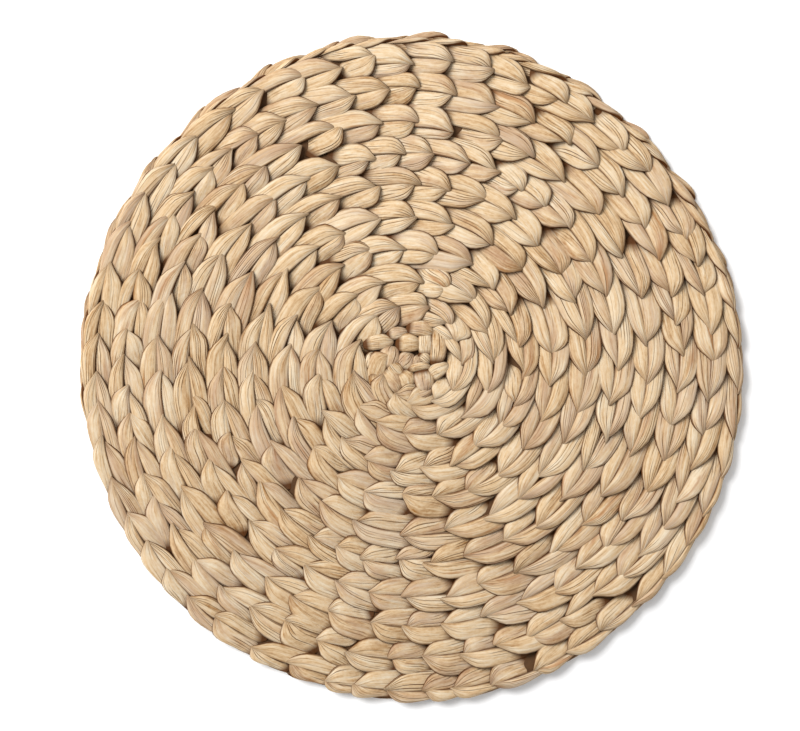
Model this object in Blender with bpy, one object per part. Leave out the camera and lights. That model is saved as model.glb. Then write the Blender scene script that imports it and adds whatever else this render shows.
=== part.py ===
"""A round water hyacinth placemat, modelled as one solid.

The mat is one flat plait of dried stems, wound in a spiral and laced to itself. Its top is ridged
row by row, its edge is scalloped by the outermost stems, and its underside is the flat plane that
the mat lies on. Units are metres and +Z is up. The origin is under the middle of the mat's outline,
on the plane that it lies on.
"""

import math

import bmesh
import bpy

# The spiral that the plait's centre line follows, from its outer end clockwise to the middle
ROW_PITCH = 0.0179
START_RADIUS = 0.1895
START_ANGLE = math.radians(65.0)
OUTERMOST_TURN = -0.57
INNERMOST_TURN = 9.8
STEPS_PER_TURN = 100
STEPS_ACROSS = 4

# The outline: how far it sits below the spiral's centre, and its scallops
OUTLINE_DROP = 0.0027
SCALLOPS_PER_TURN = 50
SCALLOP_DEPTH = 0.0016
SCALLOP_FADE_TURNS = 0.06

# Where the outline swells or is flattened: clockwise angle from +Y, rise, and half spread
SWELLS = (
    (math.radians(-10.0), 0.0011, math.radians(22.0)),
    (math.radians(45.0), -0.0014, math.radians(18.0)),
    (math.radians(165.0), 0.0010, math.radians(14.0)),
    (math.radians(195.0), -0.0006, math.radians(10.0)),
)

# Heights above the plane that the mat lies on
CROWN_HEIGHT = 0.0090
CENTRE_HEIGHT = 0.0082
GROOVE_HEIGHT = 0.0068
EDGE_TOP_HEIGHT = 0.0052
EDGE_FOOT_HEIGHT = 0.0022
KNOT_HEIGHT = 0.0084
FOOT_INSET = 0.0024

WELD = 0.00001

# Dried stem: warm straw, as a linear colour
STRAW = (0.584, 0.407, 0.231, 1.0)
STRAW_ROUGHNESS = 0.62


def clear_scene():
    """Remove every object that the file opened with."""
    for obj in list(bpy.data.objects):
        bpy.data.objects.remove(obj, do_unlink=True)


def straw_material():
    """The dried stem's colour and dull sheen."""
    material = bpy.data.materials.new("water_hyacinth_straw")
    material.use_nodes = True
    shader = material.node_tree.nodes["Principled BSDF"]
    shader.inputs["Base Color"].default_value = STRAW
    shader.inputs["Roughness"].default_value = STRAW_ROUGHNESS
    shader.inputs["Metallic"].default_value = 0.0
    return material


def angle_of(turn):
    """Clockwise angle from +Y of a place along the plait, in radians."""
    return START_ANGLE + 2.0 * math.pi * turn


def inner_border(turn):
    """Radius of the groove on the inner side of the row."""
    return START_RADIUS - ROW_PITCH * (turn + 0.5)


def swell(angle):
    """How far the outline stands out past its plain round at this angle."""
    total = 0.0
    for middle, rise, spread in SWELLS:
        apart = math.remainder(angle - middle, 2.0 * math.pi)
        total += rise * math.exp(-((apart / spread) ** 2))
    return total


def row_width(turn):
    """Width of the row: the full pitch inside, and whatever the outline leaves at the edge.

    The plait's outer end tapers from nothing over its first turn, so the outline closes on itself.
    """
    along = turn - OUTERMOST_TURN
    if along >= 1.0:
        return ROW_PITCH
    drop = OUTLINE_DROP * (math.cos(angle_of(OUTERMOST_TURN)) - math.cos(angle_of(turn)))
    return ROW_PITCH * along + drop + math.sin(math.pi * along) * swell(angle_of(turn))


def scallop(turn):
    """How far the outermost stems' round backs stand out past the notches between them."""
    fade = min(1.0, (turn - OUTERMOST_TURN) / SCALLOP_FADE_TURNS)
    return SCALLOP_DEPTH * fade * (0.5 - 0.5 * math.cos(2.0 * math.pi * SCALLOPS_PER_TURN * turn))


def groove_height(turn):
    """Height of the row's inner border, lower where that border runs out to the mat's edge."""
    reach = min(1.0, max(0.0, row_width(turn) / (0.5 * ROW_PITCH)))
    return EDGE_TOP_HEIGHT + (GROOVE_HEIGHT - EDGE_TOP_HEIGHT) * reach


def top_point(turn, step):
    """A point of the ridged top: step 0 is the row's inner border and the last its outer border."""
    outermost = turn < OUTERMOST_TURN + 1.0 - 0.5 / STEPS_PER_TURN
    width = row_width(turn)
    share = step / STEPS_ACROSS
    radius = inner_border(turn) + width * share
    if step == 0:
        height = groove_height(turn)
    elif step < STEPS_ACROSS:
        ridge = CENTRE_HEIGHT if 2 * step == STEPS_ACROSS else CROWN_HEIGHT
        fullness = min(1.0, width / ROW_PITCH)
        height = groove_height(turn) + (ridge - groove_height(turn)) * fullness
    elif outermost:
        radius += scallop(turn)
        height = EDGE_TOP_HEIGHT
    else:
        height = groove_height(turn - 1.0)
    angle = angle_of(turn)
    return radius * math.sin(angle), radius * math.cos(angle), height


def add_ridged_top(mesh):
    """Lay a long grid along the spiral and weld each turn to the next."""
    turns = INNERMOST_TURN - OUTERMOST_TURN
    steps_along = round(turns * STEPS_PER_TURN)
    bmesh.ops.create_grid(mesh, x_segments=steps_along, y_segments=STEPS_ACROSS, size=1.0)
    for vert in mesh.verts:
        along = round(0.5 * (vert.co.x + 1.0) * steps_along)
        step = round(0.5 * (vert.co.y + 1.0) * STEPS_ACROSS)
        vert.co = top_point(OUTERMOST_TURN + along / STEPS_PER_TURN, step)
    bmesh.ops.remove_doubles(mesh, verts=mesh.verts[:], dist=WELD)


def open_loops(mesh):
    """The open edges of the top, split into the hole in the middle and the outline."""
    limit = START_RADIUS - 2.0 * ROW_PITCH
    open_edges = [edge for edge in mesh.edges if edge.is_boundary]
    middle = [edge for edge in open_edges if edge.verts[0].co.xy.length < limit]
    outline = [edge for edge in open_edges if edge.verts[0].co.xy.length >= limit]
    return middle, outline


def close_middle(mesh, edges):
    """Fill the eye of the spiral and raise it to a low knot where the plait starts."""
    filled = bmesh.ops.contextual_create(mesh, geom=edges)["faces"]
    hub = bmesh.ops.poke(mesh, faces=filled)["verts"][0]
    hub.co.z = KNOT_HEIGHT


def close_underside(mesh, outline):
    """Turn the edge down and in, and close the flat underside."""
    wall = bmesh.ops.extrude_edge_only(mesh, edges=outline)["geom"]
    for vert in (item for item in wall if isinstance(item, bmesh.types.BMVert)):
        vert.co.z = EDGE_FOOT_HEIGHT
    rim = [item for item in wall if isinstance(item, bmesh.types.BMEdge) and item.is_boundary]
    foot = bmesh.ops.extrude_edge_only(mesh, edges=rim)["geom"]
    for vert in (item for item in foot if isinstance(item, bmesh.types.BMVert)):
        vert.co.xy *= 1.0 - FOOT_INSET / vert.co.xy.length
        vert.co.z = 0.0
    rim = [item for item in foot if isinstance(item, bmesh.types.BMEdge) and item.is_boundary]
    bmesh.ops.contextual_create(mesh, geom=rim)


def centre_on_origin(mesh):
    """Put the middle of the outline's box over the origin."""
    across = [vert.co.x for vert in mesh.verts]
    deep = [vert.co.y for vert in mesh.verts]
    middle = (-0.5 * (min(across) + max(across)), -0.5 * (min(deep) + max(deep)), 0.0)
    bmesh.ops.translate(mesh, verts=mesh.verts[:], vec=middle)


def build_mat():
    """The placemat: ridged top, scalloped edge and flat underside in one closed solid."""
    mesh = bmesh.new()
    add_ridged_top(mesh)
    middle, outline = open_loops(mesh)
    close_middle(mesh, middle)
    close_underside(mesh, outline)
    centre_on_origin(mesh)
    bmesh.ops.recalc_face_normals(mesh, faces=mesh.faces[:])
    data = bpy.data.meshes.new("mat")
    mesh.to_mesh(data)
    mesh.free()
    data.shade_smooth()
    data.set_sharp_from_angle(angle=math.radians(50.0))
    data.materials.append(straw_material())
    mat = bpy.data.objects.new("mat", data)
    bpy.context.scene.collection.objects.link(mat)
    return mat


clear_scene()
build_mat()
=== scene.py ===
"""The look of a round water hyacinth placemat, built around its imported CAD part.

The mat is one flat plait of dried, flattened stems, wound in a spiral from the middle outwards. Each
crossing of the plait shows two stems that meet in a blunt V: an outer one and an inner one. Lengths
are in metres and +Z is up. The plait is laid out in its own coordinates: along it, clockwise as seen
from above, outwards from its centre line, and up.
"""

import logging
import math
import random
from collections.abc import Iterator, Sequence
from dataclasses import dataclass, field
from enum import Enum
from typing import Protocol

import bmesh
import bpy
import numpy as np
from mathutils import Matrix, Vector, noise

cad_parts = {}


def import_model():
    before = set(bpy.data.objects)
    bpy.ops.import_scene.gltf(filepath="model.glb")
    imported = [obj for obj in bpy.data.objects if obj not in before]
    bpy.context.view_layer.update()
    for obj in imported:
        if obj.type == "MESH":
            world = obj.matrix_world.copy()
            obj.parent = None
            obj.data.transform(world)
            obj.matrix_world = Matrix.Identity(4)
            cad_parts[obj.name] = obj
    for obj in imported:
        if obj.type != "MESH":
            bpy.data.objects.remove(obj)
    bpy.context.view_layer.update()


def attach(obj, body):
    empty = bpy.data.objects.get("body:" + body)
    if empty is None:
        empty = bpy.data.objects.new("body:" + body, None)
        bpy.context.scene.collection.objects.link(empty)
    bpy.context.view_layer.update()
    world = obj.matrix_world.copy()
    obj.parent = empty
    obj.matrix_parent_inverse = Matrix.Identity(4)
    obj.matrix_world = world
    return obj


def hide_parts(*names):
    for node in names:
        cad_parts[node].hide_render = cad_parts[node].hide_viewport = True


MILLIMETRE = 0.001
TINY = 1e-6
# The noise that unsettles the stems starts at a random place unless it is given a seed
WOBBLE_SEED = 5
UNDER_SEED = 23
# How far the underside's outermost stems loop past the edge
UNDER_LOOP_RISE = 0.0042
# The turns of the spiral at which one piece ends and the next begins
TOP_SPLITS = (1.2, 2.8, 5.0)
UNDER_SPLITS = (2.5,)

Socket = bpy.types.NodeSocket

log = logging.getLogger("placemat")


class Side(Enum):
    """Which half of the plait a stem lies in."""

    OUTER = 1
    INNER = -1


class Face(Enum):
    """Which face of the mat a stem is on."""

    TOP = 1
    UNDER = -1


@dataclass(frozen=True)
class Spiral:
    """The plait's centre line, from its outer end clockwise to the middle.

    The first turns were wound a little off the middle, so the eye of the spiral sits to one side:
    eye_shift is how far at the centre, fading out at eye_reach.
    """

    centre: tuple[float, float] = (-0.0008, 0.0024)
    start_radius: float = 0.1895
    row_pitch: float = 0.01791
    start_angle: float = math.radians(65.0)
    least_radius: float = 0.008955
    eye_shift: tuple[float, float] = (0.0056, 0.0038)
    eye_reach: float = 0.075

    def radius(self, turn: float) -> float:
        """Distance of the centre line from the spiral's centre."""
        return self.start_radius - self.row_pitch * turn

    def angle(self, turn: float) -> float:
        """Clockwise angle from +Y of a place along the plait."""
        return self.start_angle + math.tau * turn

    def polar(self, turn: float, along: float, out: float) -> tuple[float, float]:
        """Radius and angle of a point given in the plait's coordinates.

        Args:
            turn: where along the spiral the coordinates start.
            along: distance from there along the centre line.
            out: distance outwards from the centre line.

        Returns:
            The point's radius and clockwise angle about the spiral's centre.
        """
        there = turn + along / (math.tau * max(self.radius(turn), self.least_radius))
        return max(self.radius(there) + out, 0.0), self.angle(there)

    def point(self, radius: float, angle: float, height: float) -> Vector:
        """Position in the mat's frame of a point in polar coordinates.

        Args:
            radius: distance from the spiral's centre.
            angle: clockwise angle from +Y.
            height: height above the plane that the mat lies on.

        Returns:
            The point in the mat's frame.
        """
        drift = max(0.0, 1.0 - radius / self.eye_reach) ** 2
        east = self.centre[0] + self.eye_shift[0] * drift + radius * math.sin(angle)
        north = self.centre[1] + self.eye_shift[1] * drift + radius * math.cos(angle)
        return Vector((east, north, height))


@dataclass(frozen=True)
class Outline:
    """The mat's edge, and how the plait rolls over it.

    sector_rises is how far the outline stands out from a circle in the middle of each sector,
    clockwise from +Y. loop_rise is how far the stems loop past it on the side towards +Y.
    """

    radius: float = 0.1900
    drop: float = 0.0027
    sector_angle: float = math.radians(30.0)
    sector_rises: tuple[float, ...] = (
        0.0006, -0.0017, -0.0009, -0.0005,
        -0.0008, 0.0006, -0.0009, 0.0,
        -0.0005, -0.0007, -0.0008, 0.0008,
    )
    roll_radius: float = 0.0045
    axis_height: float = 0.0045
    least_reach: float = 0.0003
    loop_rise: float = 0.0
    loop_count: float = 26.0
    loop_mean: float = 0.55
    loop_swing: float = 0.45

    def edge(self, angle: float) -> float:
        """Radius of the outline, from the spiral's centre.

        Args:
            angle: clockwise angle from +Y.

        Returns:
            The radius at that angle.
        """
        middles = [(index + 0.5) * self.sector_angle for index in range(len(self.sector_rises))]
        rise = float(np.interp(angle % math.tau, middles, self.sector_rises, period=math.tau))
        upper = math.sqrt(max(0.0, math.cos(angle)))
        wave = self.loop_mean + self.loop_swing * math.sin(self.loop_count * angle)
        return self.radius - self.drop * math.cos(angle) + rise + self.loop_rise * upper * wave

    def rolled(self, radius: float, angle: float, height: float) -> tuple[float, float]:
        """Bend a point of the top round the mat's edge.

        Args:
            radius: distance from the spiral's centre if the plait lay flat.
            angle: clockwise angle from +Y.
            height: height above the plane that the mat lies on, if the plait lay flat.

        Returns:
            The radius and height once the plait has rolled over the edge.
        """
        start = self.edge(angle) - self.roll_radius
        excess = radius - start
        if excess <= 0.0:
            return radius, height
        bend = min(excess / self.roll_radius, math.pi)
        reach = max(height - self.axis_height, self.least_reach)
        inward = excess - bend * self.roll_radius
        return (start + reach * math.sin(bend) - inward, self.axis_height + reach * math.cos(bend))


@dataclass(frozen=True)
class Profile:
    """Heights and widths along one kind of stem, from its tucked tail to its tip.

    rim is the height of its edges and crown that of its back. near is the reach towards the plait's
    centre line and far the reach away from it, both as shares of the stem's half width.
    """

    rim: tuple[float, ...]
    crown: tuple[float, ...]
    share: tuple[float, ...] = (0.0, 0.07, 0.21, 0.39, 0.57, 0.74, 0.88, 0.97, 1.0)
    near: tuple[float, ...] = (0.0, 0.50, 0.92, 1.22, 1.24, 0.98, 0.60, 0.24, 0.0)
    far: tuple[float, ...] = (0.0, 0.35, 0.66, 0.90, 1.02, 0.82, 0.46, 0.15, 0.0)

    def at(self, share: float, column: tuple[float, ...]) -> float:
        """One column's value at this share of the stem's length."""
        return float(np.interp(share, self.share, column))


OUTER_PROFILE = Profile(
    rim=(0.0028, 0.0030, 0.0034, 0.0043, 0.0052, 0.0058, 0.0058, 0.0057, 0.0056),
    crown=(0.0031, 0.0034, 0.0041, 0.0059, 0.0079, 0.0089, 0.0086, 0.0072, 0.0064),
)
INNER_PROFILE = Profile(
    rim=(0.0024, 0.0026, 0.0030, 0.0037, 0.0046, 0.0054, 0.0055, 0.0055, 0.0054),
    crown=(0.0027, 0.0029, 0.0035, 0.0050, 0.0072, 0.0085, 0.0084, 0.0071, 0.0063),
)


@dataclass(frozen=True)
class Plateau:
    """A weight that climbs from 0 at its start, holds at 1 and is back at 0 at its end."""

    start: float
    rise: float
    end: float
    fall: float

    def at(self, place: float) -> float:
        """The weight at this place."""
        return max(0.0, min(1.0, self.rise * (place - self.start), self.fall * (self.end - place)))


# How firmly a stem keeps to the seam and to the next row, by how many crossings behind its tip
SEAM_HOLD = Plateau(start=0.0, rise=2.0, end=1.4, fall=2.5)
ROW_PRESS = Plateau(start=7.0 / 22.0, rise=2.2, end=2.0, fall=2.2)


class Laid(Protocol):
    """Any stretch of stem that can be laid on the mat."""

    seed: int

    def place(self, share: float, across: float, up: float) -> Vector:
        """Where a point of the stem goes, as seen on the mat's top."""


@dataclass
class StemShape:
    """One visible stretch of stem, from where it tucks in to its tip.

    The limits are how close it may come to the centre line, at its tail and tip, and how far out it
    may reach. gap is the distance from the crossing before.
    """

    spiral: Spiral
    outline: Outline
    turn: float
    side: Side
    length: float
    half_width: float
    slant: float
    tip_along: float
    tip_out: float
    tail_limit: float
    tip_limit: float
    border_limit: float
    gap: float
    lift: float
    roll: float
    fullness: float
    skew: float
    seed: int

    border_slack: float = 0.0012
    lap_onset: float = 3.0
    belly: float = 0.0018
    least_height: float = 0.0026
    flatness: float = 0.56

    @property
    def profile(self) -> Profile:
        """The widths and heights of this kind of stem."""
        return OUTER_PROFILE if self.side is Side.OUTER else INNER_PROFILE

    def flat_place(self, share: float, across: float) -> tuple[float, float]:
        """Plan position of a point of the stem.

        Args:
            share: 0 at the tail and 1 at the tip.
            across: -1 at the edge by the centre line and 1 at the other.

        Returns:
            Distance along the plait and distance from its centre line, away from it.
        """
        back = (1.0 - share) * self.length
        room = self.border_limit - self.tip_out
        axis_out = self.tip_out + room * math.tanh(back * math.sin(self.slant) / room)
        place = share + self.skew * math.sin(math.pi * share)
        far = self.half_width * self.profile.at(place, self.profile.far)
        border = (self.border_limit - axis_out) / math.cos(self.slant)
        far += ROW_PRESS.at(back / self.gap) * (max(far, border - self.border_slack) - far)
        far = min(far, border)
        near = -self.half_width * self.profile.at(place, self.profile.near)
        limit = self.tail_limit + (self.tip_limit - self.tail_limit) * share**self.lap_onset
        seam = (limit - axis_out) / math.cos(self.slant)
        near += SEAM_HOLD.at(back / self.gap) * (min(near, seam) - near)
        near = min(max(near, seam), far)
        shift = 0.5 * (far + near) + 0.5 * (far - near) * across
        along = self.tip_along - back * math.cos(self.slant) + shift * math.sin(self.slant)
        out = axis_out + shift * math.cos(self.slant)
        return along, max(out, limit)

    def height(self, share: float, across: float, up: float) -> float:
        """Height of a point of the stem above the plane that the mat lies on.

        Args:
            share: 0 at the tail and 1 at the tip.
            across: -1 at the edge by the centre line and 1 at the other.
            up: -1 underneath, 1 on the back.

        Returns:
            The height, before the plait rolls over the mat's edge.
        """
        low = self.profile.at(share, self.profile.rim)
        rise = (self.profile.at(share, self.profile.crown) - low) * self.fullness
        rim = low + self.lift + self.roll * self.half_width * across
        if up >= 0.0:
            return rim + rise * up**self.flatness
        return min(rim, max(rim + self.belly * up, self.least_height))

    def place(self, share: float, across: float, up: float) -> Vector:
        """Where a point of the stem goes, as seen on the mat's top.

        Args:
            share: 0 at the tail and 1 at the tip.
            across: -1 at the edge by the centre line and 1 at the other.
            up: -1 underneath, 1 on the back.

        Returns:
            The point in the mat's frame.
        """
        along, out = self.flat_place(share, across)
        radius, angle = self.spiral.polar(self.turn, along, out * self.side.value)
        radius, height = self.outline.rolled(radius, angle, self.height(share, across, up))
        return self.spiral.point(radius, angle, height)


@dataclass(frozen=True)
class HubStem:
    """One of the short stems that close the middle of the mat; its lengths are in millimetres.

    east and north give its middle in the mat's frame, heading is in degrees anticlockwise from +X, bend
    is how far its middle bows to the left, and tip is how much narrower it is at its ends.
    """

    east: float
    north: float
    length: float
    width: float
    heading: float
    bend: float
    tip: float
    crown: float
    seed: int

    back_height: float = 2.72
    end_drop: float = 1.1
    end_fullness: float = 0.35
    least_height: float = 2.6

    def place(self, share: float, across: float, up: float) -> Vector:
        """Where a point of the stem goes, as seen on the mat's top.

        Args:
            share: 0 at one end and 1 at the other.
            across: -1 at the right edge and 1 at the left.
            up: -1 underneath, 1 on the back.

        Returns:
            The point in the mat's frame.
        """
        swell = math.sin(math.pi * share)
        run = (share - 0.5) * self.length
        aside = 0.5 * self.width * swell**self.tip * across + self.bend * (swell - 0.5)
        rim = self.crown - self.back_height - self.end_drop * (1.0 - swell)
        height = max(rim + self.back_height * up * swell**self.end_fullness, self.least_height)
        turn = math.radians(self.heading)
        east = self.east + run * math.cos(turn) - aside * math.sin(turn)
        north = self.north + run * math.sin(turn) + aside * math.cos(turn)
        return Vector((east, north, height)) * MILLIMETRE


# Each row gives east, north, length, width, heading, bend, tip, crown and seed
HUB_STEMS = (
    HubStem(-23.2, 4.9, 12.5, 9.8, 75.0, 0.5, 0.34, 8.2, 401),
    HubStem(-19.6, 15.8, 18.5, 10.5, 8.0, 1.4, 0.42, 8.4, 402),
    HubStem(-13.2, 6.6, 15.6, 13.6, 80.0, 0.8, 0.30, 8.8, 403),
    HubStem(-8.6, 20.9, 13.5, 7.8, 12.0, 0.8, 0.45, 7.9, 404),
    HubStem(4.2, 23.4, 17.0, 10.6, -8.0, 1.8, 0.42, 8.4, 405),
    HubStem(-2.6, 15.4, 15.2, 11.6, 0.0, 1.0, 0.32, 8.7, 406),
    HubStem(7.4, 15.2, 17.5, 9.2, 92.0, 0.4, 0.26, 7.9, 407),
    HubStem(14.1, 12.6, 22.5, 10.2, 86.0, -1.8, 0.32, 8.8, 408),
    HubStem(-4.0, 5.2, 12.2, 11.2, 60.0, 0.6, 0.32, 8.0, 409),
    HubStem(2.6, 5.2, 8.0, 6.0, 70.0, 0.4, 0.36, 7.5, 410),
    HubStem(6.8, 7.2, 9.0, 7.0, -35.0, 0.8, 0.36, 8.0, 411),
    HubStem(3.2, 1.4, 15.5, 5.4, 12.0, 1.8, 0.34, 8.5, 412),
    HubStem(14.4, -0.4, 16.0, 9.6, 35.0, 1.0, 0.42, 8.2, 413),
    HubStem(-4.4, -4.7, 13.0, 11.8, -55.0, 0.8, 0.32, 8.2, 414),
    HubStem(0.9, -12.4, 28.0, 10.0, 8.0, -3.0, 0.45, 7.8, 415),
    HubStem(6.5, -5.4, 14.0, 12.6, -80.0, 0.8, 0.30, 8.8, 416),
    HubStem(-19.4, -7.9, 20.5, 9.8, -71.0, -1.2, 0.45, 8.3, 417),
    HubStem(-12.4, -4.9, 19.0, 11.4, -51.0, 1.0, 0.42, 8.6, 418),
)


@dataclass
class StemTemplate:
    """The closed pillow that every stem starts from, of few faces because it is repeated so often.

    columns and rings are its faces round it and along it, and top_columns is how many of its columns
    of points lie on its upper side, which ends at the angle tuck below its edges.
    """

    columns: int
    rings: int
    top_columns: int
    tuck: float = math.radians(12.0)
    ring_bias: float = 0.8
    mesh: bpy.types.Mesh = field(init=False)

    def __post_init__(self) -> None:
        """Make the pillow."""
        self.mesh = bpy.data.meshes.new("stem_template")
        shape = bmesh.new()
        bmesh.ops.create_uvsphere(shape, u_segments=self.columns, v_segments=self.rings, radius=1.0)
        self.map_surface(shape)
        shape.to_mesh(self.mesh)
        shape.free()

    def column(self, vert: bmesh.types.BMVert) -> int:
        """Number of the column that a point is in, counted round the pillow."""
        turn = math.atan2(vert.co.y, vert.co.x) / math.tau
        return round(turn * self.columns) % self.columns

    def along(self, vert: bmesh.types.BMVert) -> float:
        """Share of the length at which a point lies, with most rings in the half that shows."""
        return (0.5 + 0.5 * vert.co.z) ** self.ring_bias

    def around(self, vert: bmesh.types.BMVert) -> tuple[float, float]:
        """Where a point lies on the pillow's girth, with most columns on the upper side.

        Args:
            vert: the point, on the sphere that the pillow starts from.

        Returns:
            How far across and how far up it lies, each from -1 to 1.
        """
        if math.hypot(vert.co.x, vert.co.y) < TINY:
            return 0.0, 0.0
        column = self.column(vert)
        last = self.top_columns - 1
        if column <= last:
            angle = -self.tuck + (math.pi + 2.0 * self.tuck) * column / last
        else:
            under = self.columns - last
            angle = math.pi + self.tuck + (math.pi - 2.0 * self.tuck) * (column - last) / under
        return math.cos(angle), math.sin(angle)

    def map_surface(self, shape: bmesh.types.BMesh) -> None:
        """Lay the material's map on the pillow: across it, and along it from tail to tip.

        Args:
            shape: the sphere that the pillow starts from.
        """
        layer = shape.loops.layers.uv.new("lie")
        for face in shape.faces:
            face.smooth = True
            round_it = [loop for loop in face.loops if abs(loop.vert.co.z) < 1.0 - TINY]
            middle = sum(self.around(loop.vert)[0] for loop in round_it) / len(round_it)
            for loop in face.loops:
                across = self.around(loop.vert)[0] if loop in round_it else middle
                loop[layer].uv = (0.5 + 0.5 * across, self.along(loop.vert))


@dataclass(frozen=True)
class Lap:
    """How a stem ends at its crossing, where one of the two stems lies on the other."""

    tip_along: float
    tip_out: float
    past_seam: float
    lift: float


ON_TOP = Lap(tip_along=0.0010, tip_out=-0.0003, past_seam=0.0012, lift=0.00025)
BENEATH = Lap(tip_along=-0.0007, tip_out=0.0008, past_seam=0.0, lift=-0.0001)


@dataclass
class PlaitRun:
    """The run of crossings that make up one face of the mat.

    Each spread is the standard deviation of a maker's unevenness. A sway is a slow drift along the
    plait: how strong it is, how fast in radians a turn, and where it starts.
    """

    spiral: Spiral
    outline: Outline
    face: Face
    seed: int = 11
    first_turn: float = -0.45
    last_turn: float = 9.52

    pitch_radii: tuple[float, ...] = (0.006, 0.011, 0.025, 0.042, 0.060, 0.085)
    pitches: tuple[float, ...] = (0.0085, 0.0102, 0.0130, 0.0164, 0.0192, 0.0209)
    full_pitch: float = 0.0209
    pitch_sways: tuple[tuple[float, float, float], ...] = ((0.08, 2.3, 1.0), (0.06, 11.0, 0.0))
    pitch_spread: float = 0.12
    pitch_range: tuple[float, float] = (0.75, 1.35)
    slant: float = math.radians(21.0)
    slant_gain: float = math.radians(30.0)
    slant_sway: float = math.radians(6.0)
    slant_spread: float = math.radians(4.5)
    outer_phase: float = math.radians(60.0)
    inner_phase: float = math.radians(0.0)
    half_row: float = 0.0172
    most_length: float = 0.052
    length_spread: float = 0.07
    straight_width: float = 0.16
    slanted_width: float = 0.36
    width_spread: float = 0.12
    seam_spread: float = 0.0011
    press: float = 0.00045
    border: float = 0.0106
    border_spread: float = 0.0005
    tip_spread: float = 0.0010
    lift_spread: float = 0.0002
    roll: float = 0.02
    roll_spread: float = 0.05
    fullness_spread: float = 0.06
    most_fullness: float = 1.08
    skew_spread: float = 0.035
    outer_over: float = 0.7
    crown_height: float = 0.0088
    under_share: float = 0.4

    def pitch(self, radius: float) -> float:
        """Distance between crossings, which shortens towards the middle."""
        return float(np.interp(radius, self.pitch_radii, self.pitches))

    def stems(self) -> Iterator[StemShape]:
        """Lay out the run.

        Yields:
            Every stem, from the outer end to the middle.
        """
        chance = random.Random(self.seed)
        turn = self.first_turn
        while turn < self.last_turn:
            radius = self.spiral.radius(turn)
            sway = sum(size * math.sin(rate * turn + start) for size, rate, start in self.pitch_sways)
            least, most = self.pitch_range
            uneven = min(most, max(least, chance.gauss(1.0, self.pitch_spread)))
            pitch = self.pitch(radius) * (1.0 + sway) * uneven
            turn += pitch / (math.tau * radius)
            seam = chance.gauss(0.0, self.seam_spread)
            over = Side.OUTER if chance.random() < self.outer_over else Side.INNER
            for side in (Side.INNER, Side.OUTER):
                lap = ON_TOP if side is over else BENEATH
                yield self.stem(turn, side, pitch, seam, lap, chance)

    def stem(
        self, turn: float, side: Side, pitch: float, seam: float, lap: Lap, chance: random.Random
    ) -> StemShape:
        """One stem of a crossing, with a maker's small unevenness.

        Args:
            turn: where the crossing is along the spiral.
            side: the half of the plait that the stem lies in.
            pitch: distance from the crossing before it.
            seam: how far outwards the two stems of the crossing meet.
            lap: how the stem ends there.
            chance: the run's own source of unevenness.

        Returns:
            The stem, ready to be laid.
        """
        limit = seam * side.value - self.press
        short = (self.full_pitch - pitch) / self.full_pitch
        phase = self.outer_phase if side is Side.OUTER else self.inner_phase
        slant = self.slant + self.slant_gain * max(0.0, short)
        slant += self.slant_sway * math.cos(2.0 * self.spiral.angle(turn) - phase)
        slant += chance.gauss(0.0, self.slant_spread)
        length = min(self.half_row / math.sin(slant), self.most_length)
        half_width = pitch * (self.straight_width + self.slanted_width * math.sin(slant))
        return StemShape(
            spiral=self.spiral,
            outline=self.outline,
            turn=turn,
            side=side,
            length=length * chance.gauss(1.0, self.length_spread),
            half_width=half_width * chance.gauss(1.0, self.width_spread),
            slant=slant,
            tip_along=chance.gauss(lap.tip_along, self.tip_spread),
            tip_out=limit + lap.tip_out,
            tail_limit=limit,
            tip_limit=limit - lap.past_seam,
            border_limit=chance.gauss(self.border, self.border_spread),
            gap=pitch,
            lift=chance.gauss(lap.lift, self.lift_spread),
            roll=chance.gauss(self.roll, self.roll_spread),
            fullness=min(self.most_fullness, chance.gauss(1.0, self.fullness_spread)),
            skew=chance.gauss(0.0, self.skew_spread),
            seed=chance.randrange(1_000_000),
        )


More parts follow.
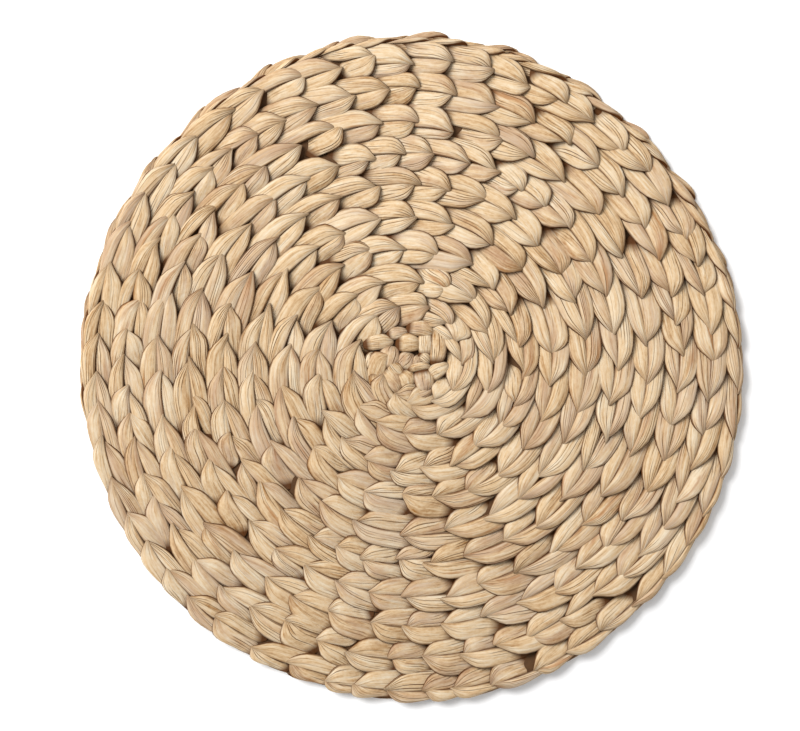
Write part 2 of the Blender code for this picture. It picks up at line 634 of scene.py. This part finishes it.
@dataclass
class Plait:
    """All the stems of one face of the mat, in a few pieces.

    wobble unsettles every surface a little. A stem's tone is partly its own and partly that of the
    batch it came from; the underside's stems are painted darker and more mauve, as painted shade.
    """

    name: str
    run: PlaitRun
    template: StemTemplate
    splits: tuple[float, ...]
    wobble: float = 0.00035
    wobble_size: float = 0.007
    wobble_layers: int = 97
    batch_size: float = 0.045
    batch_swing: float = 0.9
    own_tone: float = 0.6
    tone_read_at: float = 0.7
    under_painted_shade: float = 0.35
    groove_counts: tuple[int, ...] = (0, 1, 1, 2)
    groove_depths: tuple[float, float] = (0.2, 0.6)

    def build(self) -> list[bpy.types.Object]:
        """Make all the pieces of this face.

        Returns:
            The pieces, from the mat's edge to its middle.
        """
        parts = split_by_turn(self.run.stems(), self.splits)
        pieces = [self.piece(f"{self.name}_stems_{number}", part) for number, part in enumerate(parts, 1)]
        return [*pieces, self.piece(f"{self.name}_hub", HUB_STEMS)]

    def piece(self, name: str, stems: Sequence[Laid]) -> bpy.types.Object:
        """Make one piece of the plait.

        Args:
            name: the piece's name.
            stems: the stems in it.

        Returns:
            The finished piece, in the scene.
        """
        shape = bmesh.new()
        tint = shape.verts.layers.float_color.new("stem_tint")
        for stem in stems:
            first = len(shape.verts)
            shape.from_mesh(self.template.mesh)
            shape.verts.ensure_lookup_table()
            self.lay(stem, shape.verts[first:], tint)
        bmesh.ops.recalc_face_normals(shape, faces=shape.faces[:])
        piece = piece_from(shape, name)
        smooth = piece.modifiers.new("smooth", "SUBSURF")
        smooth.levels = 1
        smooth.render_levels = 1
        smooth.boundary_smooth = "ALL"
        return piece

    def lay(self, stem: Laid, verts: list[bmesh.types.BMVert], tint: bmesh.types.BMLayerItem) -> None:
        """Bend a fresh pillow into one stem of the plait.

        Args:
            stem: the stem.
            verts: the pillow's points.
            tint: where the stem's four chances are kept.
        """
        run = self.run
        chance = random.Random(stem.seed)
        grooves = self.grooves(chance)
        colour = self.tint(chance, stem.place(self.tone_read_at, 0.0, 1.0))
        start = Vector((0.0, 0.0, stem.seed % self.wobble_layers))
        for vert in verts:
            share = self.template.along(vert)
            across, up = self.template.around(vert)
            place = stem.place(share, across, up)
            place.z -= grooves.get(self.template.column(vert), 0.0) * math.sin(math.pi * share)
            place += noise.noise_vector(place / self.wobble_size + start) * self.wobble
            if run.face is Face.UNDER:
                place.z = run.under_share * (run.crown_height - place.z)
            place.z = max(place.z, 0.0)
            vert.co = place
            vert[tint] = colour

    def tint(self, chance: random.Random, place: Vector) -> tuple[float, float, float, float]:
        """Draw the four chances that the skin's material reads.

        Args:
            chance: the stem's own source of unevenness.
            place: where on the mat the stem is.

        Returns:
            Its tone, creases, mauve tinge and rust streak, each from 0 to 1.
        """
        flat = Vector((place.x, place.y, 0.0))
        batch = 0.5 + self.batch_swing * noise.noise(flat / self.batch_size)
        tone = self.own_tone * chance.random() + (1.0 - self.own_tone) * batch
        tinge = chance.random()
        # Painted shade: the underside's stems are drawn darker and more mauve, as if in the shadow under
        # the mat's edge
        if self.run.face is Face.UNDER:
            tone -= self.under_painted_shade
            tinge += self.under_painted_shade
        return min(1.0, max(0.0, tone)), chance.random(), min(1.0, tinge), chance.random()

    def grooves(self, chance: random.Random) -> dict[int, float]:
        """Draw the columns of a stem that are pressed in.

        Args:
            chance: the stem's own source of unevenness.

        Returns:
            How deep each pressed column is.
        """
        count = chance.choice(self.groove_counts)
        inside = range(2, self.template.top_columns - 2)
        return {
            chance.choice(inside): chance.uniform(*self.groove_depths) * MILLIMETRE
            for _ in range(count)
        }


def piece_from(shape: bmesh.types.BMesh, name: str) -> bpy.types.Object:
    """Turn a finished bmesh into an object of the scene.

    Args:
        shape: the mesh, which is freed.
        name: the object's name.

    Returns:
        The object.
    """
    data = bpy.data.meshes.new(name)
    shape.to_mesh(data)
    shape.free()
    piece = bpy.data.objects.new(name, data)
    bpy.context.scene.collection.objects.link(piece)
    return piece


@dataclass
class Core:
    """The inside of the plait: one thin closed disc, ridged along every row.

    inset is how far its edge stays inside the mat's, and top and foot are the heights of its two
    faces, which rise and fall with the rows by ridge and by foot_share of it.
    """

    spiral: Spiral
    outline: Outline
    inset: float = 0.0042
    top: float = 0.0032
    foot: float = 0.0027
    ridge: float = 0.0007
    foot_share: float = 0.5
    steps: int = 96
    rings: int = 63

    def build(self) -> bpy.types.Object:
        """Spin a radius of the disc round, close it below and press the rows into it.

        Returns:
            The disc, in the scene.
        """
        shape = bmesh.new()
        shares = [ring / self.rings for ring in range(self.rings + 1)]
        verts = [shape.verts.new((share, 0.0, 1.0)) for share in shares]
        verts += [shape.verts.new((share, 0.0, 0.0)) for share in reversed(shares)]
        edges = [shape.edges.new(pair) for pair in zip(verts[:-1], verts[1:], strict=True)]
        bmesh.ops.spin(
            shape,
            geom=verts + edges,
            cent=(0.0, 0.0, 0.0),
            axis=(0.0, 0.0, 1.0),
            angle=math.tau,
            steps=self.steps,
            use_merge=True,
        )
        bmesh.ops.remove_doubles(shape, verts=shape.verts[:], dist=TINY)
        for vert in shape.verts:
            vert.co = self.pressed(vert.co)
        bmesh.ops.recalc_face_normals(shape, faces=shape.faces[:])
        return piece_from(shape, "mat_core")

    def pressed(self, place: Vector) -> Vector:
        """Fit a point of the unit disc to the mat, with a ridge under each row.

        Args:
            place: the point, 1 high on the disc's top and 0 on its foot.

        Returns:
            The point in the mat's frame.
        """
        angle = math.atan2(place.x, place.y)
        radius = math.hypot(place.x, place.y) * (self.outline.edge(angle) - self.inset)
        rows = (self.spiral.start_radius - radius) / self.spiral.row_pitch
        phase = rows - (angle - self.spiral.start_angle) / math.tau
        rise = self.ridge * math.cos(math.tau * phase)
        if place.z < 0.5:
            return self.spiral.point(radius, angle, self.foot + self.foot_share * rise)
        return self.spiral.point(radius, angle, self.top + rise)


def linear(code: str) -> tuple[float, float, float, float]:
    """Turn a colour to what the shader takes.

    Args:
        code: the colour as an sRGB hex code.

    Returns:
        The linear colour, opaque.
    """
    channels = [int(code[index : index + 2], 16) / 255.0 for index in (1, 3, 5)]
    turned = [c / 12.92 if c <= 0.04045 else ((c + 0.055) / 1.055) ** 2.4 for c in channels]
    return turned[0], turned[1], turned[2], 1.0


def add_node(
    tree: bpy.types.NodeTree,
    kind: str,
    links: dict[str | int, Socket | bpy.types.Node] | None = None,
    values: dict[str | int, object] | None = None,
    **settings: object,
) -> bpy.types.Node:
    """Add one node to a material.

    Args:
        tree: the material's node tree.
        kind: the node's type name, after the word ShaderNode.
        links: the socket that feeds each input, or a node for its first one.
        values: the number or colour of each input that nothing feeds.
        settings: the node's own options.

    Returns:
        The node.
    """
    node = tree.nodes.new(f"ShaderNode{kind}")
    for key, value in settings.items():
        setattr(node, key, value)
    for key, value in (values or {}).items():
        node.inputs[key].default_value = value
    for key, source in (links or {}).items():
        socket = source.outputs[0] if isinstance(source, bpy.types.Node) else source
        tree.links.new(socket, node.inputs[key])
    return node


def fresh_material(name: str) -> tuple[bpy.types.Material, bpy.types.Node]:
    """Start a material.

    Args:
        name: the material's name.

    Returns:
        The material and its shader.
    """
    material = bpy.data.materials.new(name)
    material.use_nodes = True
    return material, material.node_tree.nodes["Principled BSDF"]


@dataclass(frozen=True)
class Spread:
    """A stretch of one value, from start to end, that is spread over another, from low to high."""

    start: float
    end: float
    low: float = 0.0
    high: float = 1.0

    @property
    def inputs(self) -> dict[str | int, object]:
        """The four numbers, by the input of the node that takes each."""
        return {1: self.start, 2: self.end, 3: self.low, 4: self.high}


@dataclass(frozen=True)
class Grain:
    """Size of a pattern's marks across and along the stem, and how many finer layers it has."""

    width: float
    length: float
    detail: float = 4.0
    roughness: float = 0.6


@dataclass(frozen=True)
class StemMap:
    """What the skin's patterns read: the map that lies on each stem, and the stem's four chances."""

    tree: bpy.types.NodeTree
    lie: Socket
    shift: Socket
    across: Socket
    along: Socket
    tone: Socket
    folds: Socket
    tinge: Socket
    rust: Socket

    @classmethod
    def read(cls, tree: bpy.types.NodeTree, apart: tuple[float, float, float]) -> "StemMap":
        """Add the nodes that read the map and the chances.

        Args:
            tree: the material's node tree.
            apart: how far apart the patterns of two unlike stems are drawn.

        Returns:
            The sockets that give them.
        """
        lie = add_node(tree, "UVMap", uv_map="lie")
        split = add_node(tree, "SeparateXYZ", {0: lie})
        stem = add_node(tree, "Attribute", attribute_name="stem_tint")
        chance = add_node(tree, "SeparateColor", {0: stem.outputs["Color"]})
        shift = add_node(
            tree, "VectorMath", {0: stem.outputs["Vector"]}, {1: apart}, operation="MULTIPLY"
        )
        return cls(
            tree=tree,
            lie=lie.outputs[0],
            shift=shift.outputs[0],
            across=split.outputs[0],
            along=split.outputs[1],
            tone=chance.outputs[0],
            folds=chance.outputs[1],
            tinge=chance.outputs[2],
            rust=stem.outputs["Alpha"],
        )


@dataclass(frozen=True)
class DriedHyacinth:
    """Water hyacinth stem, dried in the sun, flattened and plaited.

    The stem dries to a warm straw colour that wanders from cream to mauve-brown. Its skin is matt to
    satin, finely ribbed along its length, and it folds into longer creases where it was flattened.
    Real fibres are about 0.3 mm wide, too fine to show in the render, so they are drawn as coarse as
    they need to show.
    """

    name: str = "dried_water_hyacinth"
    pale: str = "#D4C5AC"
    middle: str = "#C4A883"
    dark: str = "#8E602C"
    mauve: str = "#9C7C67"
    rust: str = "#986336"
    crease: str = "#5A340E"
    # The dark brown of the painted shade at the stems' tips, tails and edges
    rim: str = "#4C2606"
    specular: float = 0.03

    stem_length: float = 0.038
    stem_width: float = 0.011
    stems_apart: tuple[float, float, float] = (37.0, 61.0, 83.0)

    fibre: Grain = Grain(0.0012, 0.012)
    rib: Grain = Grain(0.0022, 0.018)
    fleck: Grain = Grain(0.0014, 0.00224)
    fleck_weight: float = 0.5
    tone_weight: float = 0.29
    straw_spread: Spread = Spread(0.905, 1.745)
    roughness_spread: Spread = Spread(0.35, 0.65, 0.50, 0.66)

    crease_spacing: float = 0.0014
    crease_sway: float = 2.6
    crease_wander: Grain = Grain(0.0080, 0.0250, detail=0.0)
    # Neighbouring creases read this noise 3.7 marks apart, so that no two of them run alike
    crease_run: Grain = Grain(0.011 / 3.7, 0.022, detail=0.0)
    fewest_creases_at: float = 0.62
    ends_weight: float = 0.45
    crease_line: Spread = Spread(0.03, 0.19, 1.0, 0.0)
    crease_there: Spread = Spread(0.46, 0.71)
    crease_start: Spread = Spread(0.15, 0.40)
    crease_strength: Spread = Spread(0.0, 1.0, 0.15, 1.0)

    cloud: Grain = Grain(0.0044, 0.0240)
    tinge_weight: float = 0.30
    tinge_spread: Spread = Spread(0.58, 0.95, high=0.56)
    rust_trail: Grain = Grain(0.0034, 0.0300)
    rust_weight: float = 0.5
    rust_spread: Spread = Spread(1.02, 1.14, high=0.55)

    # Painted shade, in the rim colour: darker towards each stem's tip and its tail
    tip_painted_shade: Spread = Spread(0.76, 1.0, high=0.38)
    tail_painted_shade: Spread = Spread(0.15, 0.31, 0.94, 0.0)
    # Painted shade, in the rim colour, along each stem's two edges
    edge_painted_band: Spread = Spread(0.365, 0.47)
    most_edge_painted_shade: Spread = Spread(0.30, 0.70, 0.35, 0.97)

    fibre_height: float = 0.35
    crease_height: float = -0.6
    relief_strength: float = 0.8
    relief_height: float = 0.0007

    def build(self) -> bpy.types.Material:
        """Make the material.

        Returns:
            The material.
        """
        material, shader = fresh_material(self.name)
        tree = material.node_tree
        stem = StemMap.read(tree, self.stems_apart)
        fibres = self.streaks(stem, self.fibre)
        ribs = self.streaks(stem, self.rib)
        creases = self.creases(stem)
        clouds = self.streaks(stem, self.cloud)
        trails = self.streaks(stem, self.rust_trail)
        skin = self.straw(stem, fibres, ribs)
        for share, code in (
            (self.patches(stem, stem.tinge, clouds, self.tinge_weight, self.tinge_spread), self.mauve),
            (self.patches(stem, stem.rust, trails, self.rust_weight, self.rust_spread), self.rust),
            # Painted shade at the stems' tips and tails
            (self.tucked_painted_shade(stem), self.rim),
            (creases, self.crease),
            # Painted shade along the stems' edges
            (self.edge_painted_shade(stem), self.rim),
        ):
            layer = add_node(tree, "Mix", {0: share, 6: skin}, {7: linear(code)}, data_type="RGBA")
            skin = layer.outputs[2]
        tree.links.new(skin, shader.inputs["Base Color"])
        tree.links.new(self.relief(stem, fibres, ribs, creases), shader.inputs["Normal"])
        gloss = add_node(tree, "MapRange", {0: ribs}, self.roughness_spread.inputs)
        tree.links.new(gloss.outputs[0], shader.inputs["Roughness"])
        shader.inputs["Specular IOR Level"].default_value = self.specular
        return material

    def straw(self, stem: StemMap, fibres: Socket, ribs: Socket) -> Socket:
        """The straw colour, from stem to stem and along the fibres.

        Args:
            stem: what the pattern reads.
            fibres: the fibres' noise.
            ribs: the ribs' noise.

        Returns:
            The colour.
        """
        tree = stem.tree
        flecks = self.streaks(stem, self.fleck)
        lines = add_node(tree, "Math", {0: fibres, 1: ribs}, operation="ADD")
        grain = add_node(
            tree, "Math", {0: flecks, 2: lines}, {1: self.fleck_weight}, operation="MULTIPLY_ADD"
        )
        blend = add_node(
            tree, "Math", {0: stem.tone, 2: grain}, {1: self.tone_weight}, operation="MULTIPLY_ADD"
        )
        fit = add_node(tree, "MapRange", {0: blend}, self.straw_spread.inputs)
        ramp = add_node(tree, "ValToRGB", {0: fit})
        stops = ramp.color_ramp.elements
        stops[0].color = linear(self.dark)
        stops[1].color = linear(self.pale)
        stops.new(0.5).color = linear(self.middle)
        return ramp.outputs[0]

    def creases(self, stem: StemMap) -> Socket:
        """Long dark folds that run with the stem and are closest together at its ends.

        Args:
            stem: what the pattern reads.

        Returns:
            How creased the skin is, from 0 to 1.
        """
        tree = stem.tree
        wander = self.streaks(stem, self.crease_wander)
        sway = add_node(tree, "Math", {0: wander}, {1: self.crease_sway}, operation="MULTIPLY")
        lanes = self.stem_width / self.crease_spacing
        lane = add_node(
            tree, "Math", {0: stem.across, 2: sway}, {1: lanes}, operation="MULTIPLY_ADD"
        )
        off_line = add_node(tree, "Math", {0: lane}, {1: 0.5}, operation="PINGPONG")
        line = add_node(
            tree, "MapRange", {0: off_line}, self.crease_line.inputs, interpolation_type="SMOOTHSTEP"
        )
        number = add_node(tree, "Math", {0: lane}, operation="ROUND")
        track = add_node(tree, "CombineXYZ", {0: number, 1: stem.along})
        where = self.streaks(stem, self.crease_run, track.outputs[0])
        from_middle = add_node(
            tree, "Math", {0: stem.along}, {1: self.fewest_creases_at}, operation="SUBTRACT"
        )
        ends = add_node(tree, "Math", {0: from_middle}, operation="ABSOLUTE")
        reach = add_node(
            tree, "Math", {0: ends, 2: where}, {1: self.ends_weight}, operation="MULTIPLY_ADD"
        )
        there = add_node(
            tree, "MapRange", {0: reach}, self.crease_there.inputs, interpolation_type="SMOOTHSTEP"
        )
        opened = add_node(tree, "MapRange", {0: stem.along}, self.crease_start.inputs)
        strength = add_node(tree, "MapRange", {0: stem.folds}, self.crease_strength.inputs)
        crease = line
        for share in (there, opened, strength):
            crease = add_node(tree, "Math", {0: crease, 1: share}, operation="MULTIPLY", use_clamp=True)
        return crease.outputs[0]

    def patches(
        self, stem: StemMap, chance: Socket, pattern: Socket, weight: float, spread: Spread
    ) -> Socket:
        """Patches of another colour, more of them on some stems.

        Args:
            stem: what the pattern reads.
            chance: the stem's chance of having them.
            pattern: the noise that they follow.
            weight: how much the noise counts beside the chance.
            spread: from where to where they fade in, and how strong they get.

        Returns:
            How strong the patches are, from 0 to 1.
        """
        both = add_node(
            stem.tree, "Math", {0: chance, 2: pattern}, {1: weight}, operation="MULTIPLY_ADD"
        )
        share = add_node(
            stem.tree, "MapRange", {0: both}, spread.inputs, interpolation_type="SMOOTHSTEP"
        )
        return share.outputs[0]

    def tucked_painted_shade(self, stem: StemMap) -> Socket:
        """Painted shade where the tip and the tail tuck in under the stems around them.

        Args:
            stem: what the pattern reads.

        Returns:
            How strong the painted shade is there, from 0 to 1.
        """
        tip = add_node(stem.tree, "MapRange", {0: stem.along}, self.tip_painted_shade.inputs)
        tail = add_node(stem.tree, "MapRange", {0: stem.along}, self.tail_painted_shade.inputs)
        both = add_node(stem.tree, "Math", {0: tip, 1: tail}, operation="MAXIMUM")
        return both.outputs[0]

    def edge_painted_shade(self, stem: StemMap) -> Socket:
        """Painted shade along the stem's two edges, where they go down under their neighbours, strongest
        by the tip.

        Args:
            stem: what the pattern reads.

        Returns:
            How strong the painted shade is there, from 0 to 1.
        """
        from_axis = add_node(stem.tree, "Math", {0: stem.across}, {1: 0.5}, operation="SUBTRACT")
        aside = add_node(stem.tree, "Math", {0: from_axis}, operation="ABSOLUTE")
        most = add_node(stem.tree, "MapRange", {0: stem.along}, self.most_edge_painted_shade.inputs)
        share = add_node(
            stem.tree,
            "MapRange",
            {0: aside, 4: most},
            self.edge_painted_band.inputs,
            interpolation_type="SMOOTHSTEP",
        )
        return share.outputs[0]

    def relief(self, stem: StemMap, fibres: Socket, ribs: Socket, creases: Socket) -> Socket:
        """The skin's relief: raised ribs and fibres, sunken creases.

        Args:
            stem: what the pattern reads.
            fibres: the fibres' noise.
            ribs: the ribs' noise.
            creases: how creased the skin is.

        Returns:
            The bent normal.
        """
        raised = add_node(
            stem.tree, "Math", {0: fibres, 2: ribs}, {1: self.fibre_height}, operation="MULTIPLY_ADD"
        )
        carved = add_node(
            stem.tree, "Math", {0: creases, 2: raised}, {1: self.crease_height}, operation="MULTIPLY_ADD"
        )
        bump = add_node(
            stem.tree,
            "Bump",
            {"Height": carved},
            {"Strength": self.relief_strength, "Distance": self.relief_height},
        )
        return bump.outputs[0]

    def streaks(self, stem: StemMap, grain: Grain, lie: Socket | None = None) -> Socket:
        """Noise drawn out along the stem, different on every stem.

        Args:
            stem: what the pattern reads.
            grain: the size of its streaks.
            lie: the map to draw it on, if not the one that lies on the stem.

        Returns:
            The noise, between 0 and 1.
        """
        base = stem.lie if lie is None else lie
        scale = (self.stem_width / grain.width, self.stem_length / grain.length, 1.0)
        place = add_node(
            stem.tree, "VectorMath", {0: base, 2: stem.shift}, {1: scale}, operation="MULTIPLY_ADD"
        )
        streak = add_node(
            stem.tree,
            "TexNoise",
            {"Vector": place},
            {"Scale": 1.0, "Detail": grain.detail, "Roughness": grain.roughness},
        )
        return streak.outputs[0]


@dataclass(frozen=True)
class ShadedPith:
    """The inside of the plait: the same stems, in shade, darker and dull."""

    name: str = "shaded_stem_pith"
    pale: str = "#5A3A18"
    dark: str = "#3E260E"
    grain_size: float = 0.0025
    roughness: float = 0.9

    def build(self) -> bpy.types.Material:
        """Make the material.

        Returns:
            The material.
        """
        material, shader = fresh_material(self.name)
        tree = material.node_tree
        place = add_node(tree, "TexCoord")
        grain = add_node(
            tree, "TexNoise", {"Vector": place.outputs["Object"]}, {"Scale": 1.0 / self.grain_size}
        )
        tone = add_node(
            tree, "Mix", {0: grain}, {6: linear(self.dark), 7: linear(self.pale)}, data_type="RGBA"
        )
        tree.links.new(tone.outputs[2], shader.inputs["Base Color"])
        shader.inputs["Roughness"].default_value = self.roughness
        return material


@dataclass(frozen=True)
class WhitePaper:
    """Matt white paper, for the floor: plain and without a sheen."""

    name: str = "white_paper"
    colour: str = "#FBFBFB"
    roughness: float = 0.9

    def build(self) -> bpy.types.Material:
        """Make the material.

        Returns:
            The material.
        """
        material, shader = fresh_material(self.name)
        shader.inputs["Base Color"].default_value = linear(self.colour)
        shader.inputs["Roughness"].default_value = self.roughness
        return material


@dataclass
class Studio:
    """A pale floor, soft light from the upper left, and the camera straight above."""

    view_centre: tuple[float, float] = (-0.00707, 0.00283)
    view_width: float = 0.4524
    lens: float = 100.0
    sensor: float = 36.0
    mat_top: float = 0.0085
    floor_size: float = 6.0
    floor_drop: float = 0.0002
    key_place: tuple[float, float, float] = (-1.56, 1.10, 1.95)
    key_size: float = 1.5
    key_power: float = 98.5
    sky_strength: float = 0.61

    def build(self) -> None:
        """Make the floor, the lights and the camera."""
        self.add_floor()
        self.add_key()
        self.add_sky()
        self.add_camera()

    def add_floor(self) -> None:
        """The plain pale surface that the mat lies on."""
        shape = bmesh.new()
        bmesh.ops.create_grid(shape, x_segments=1, y_segments=1, size=0.5 * self.floor_size)
        bmesh.ops.translate(shape, verts=shape.verts[:], vec=(0.0, 0.0, -self.floor_drop))
        floor = piece_from(shape, "floor")
        floor.data.materials.append(WhitePaper().build())

    def add_key(self) -> None:
        """A square soft light that looks at the middle of the mat."""
        data = bpy.data.lights.new("key", "AREA")
        data.size = self.key_size
        data.energy = self.key_power
        lamp = bpy.data.objects.new("key", data)
        lamp.location = self.key_place
        lamp.rotation_euler = (-Vector(self.key_place)).to_track_quat("-Z", "Y").to_euler()
        bpy.context.scene.collection.objects.link(lamp)

    def add_sky(self) -> None:
        """Even white light from all round."""
        world = bpy.data.worlds.new("studio")
        world.use_nodes = True
        back = world.node_tree.nodes["Background"]
        back.inputs["Color"].default_value = (1.0, 1.0, 1.0, 1.0)
        back.inputs["Strength"].default_value = self.sky_strength
        bpy.context.scene.world = world

    def add_camera(self) -> None:
        """The camera, looking straight down with +Y up the picture."""
        data = bpy.data.cameras.new("camera")
        data.lens = self.lens
        data.sensor_width = self.sensor
        away = self.view_width * self.lens / self.sensor
        camera = bpy.data.objects.new("camera", data)
        camera.location = (*self.view_centre, self.mat_top + away)
        bpy.context.scene.collection.objects.link(camera)
        bpy.context.scene.camera = camera


def split_by_turn(stems: Iterator[StemShape], turns: tuple[float, ...]) -> list[list[StemShape]]:
    """Share the stems out between pieces.

    Args:
        stems: the stems of one face.
        turns: the places along the plait where one piece ends and the next begins.

    Returns:
        Each piece's stems.
    """
    limits = (*turns, math.inf)
    parts: list[list[StemShape]] = [[] for _ in limits]
    for stem in stems:
        index = next(i for i, limit in enumerate(limits) if stem.turn < limit)
        parts[index].append(stem)
    return parts


def report(piece: bpy.types.Object) -> None:
    """Log a piece's name and how many faces it has as modelled."""
    log.info("%s: %d faces", piece.name, len(piece.data.polygons))


def main() -> None:
    """Build the placemat and the studio around it."""
    logging.basicConfig(level=logging.INFO, format="%(name)s %(message)s")
    noise.seed_set(WOBBLE_SEED)
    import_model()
    spiral = Spiral()
    outline = Outline()
    top_run = PlaitRun(spiral, outline, Face.TOP)
    top = Plait("top", top_run, StemTemplate(columns=12, rings=8, top_columns=9), TOP_SPLITS)
    looped = Outline(loop_rise=UNDER_LOOP_RISE)
    under_run = PlaitRun(spiral, looped, Face.UNDER, seed=UNDER_SEED)
    under = Plait("under", under_run, StemTemplate(columns=8, rings=6, top_columns=6), UNDER_SPLITS)
    straw = DriedHyacinth().build()
    pieces = top.build() + under.build()
    for piece in pieces:
        piece.data.materials.append(straw)
        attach(piece, "root")
        report(piece)

    core = Core(spiral, outline).build()
    core.data.materials.append(ShadedPith().build())
    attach(core, "root")
    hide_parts("mat")
    report(core)

    Studio().build()
    bpy.context.scene.view_settings.view_transform = "Standard"


if __name__ == "__main__":
    main()
